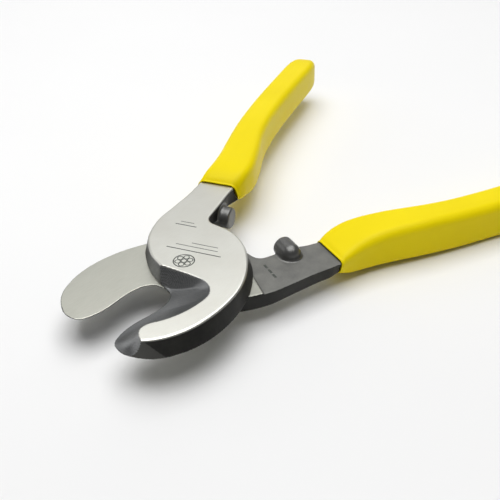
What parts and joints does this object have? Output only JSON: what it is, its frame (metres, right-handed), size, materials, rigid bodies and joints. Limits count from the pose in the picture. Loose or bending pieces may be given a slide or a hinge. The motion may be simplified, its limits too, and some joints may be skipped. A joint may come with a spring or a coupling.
{
  "type": "cable cutter",
  "caption": "Hand cable cutter with hooked, hollow-ground blades crossing on a flush pivot, stop bosses between the handles and thick vinyl grips.",
  "frame": {"origin": "on the polished front face, on the pivot axis", "axes": "+X along the centre line between the halves towards the jaws, +Z out of the polished front face along the pivot axis"},
  "size_m": [0.216, 0.1776, 0.0247],
  "materials": {
    "front_steel": "ground and polished faces, black oxide sides",
    "rear_steel": "ground and polished faces, dark forged handle",
    "front_vinyl": "satin",
    "rear_vinyl": "satin",
    "stud_steel": "turned",
    "washer_steel": "plain",
    "spring_steel": "blued",
    "nut_steel": "black oxide"
  },
  "bodies": {
    "front": {"front_half": "front_steel", "front_grip": "front_vinyl", "pivot_stud": "stud_steel", "spring_washer": "spring_steel", "lock_nut": "nut_steel"},
    "rear": {"rear_half": "rear_steel", "rear_grip": "rear_vinyl", "thrust_washer": "washer_steel"}
  },
  "joints": [
    {"name": "pivot", "type": "hinge", "parent": "front", "child": "rear", "pos_m": [0, 0, 0], "axis": [0, 0, 1], "range_deg": [-18, 42]}
  ]
}
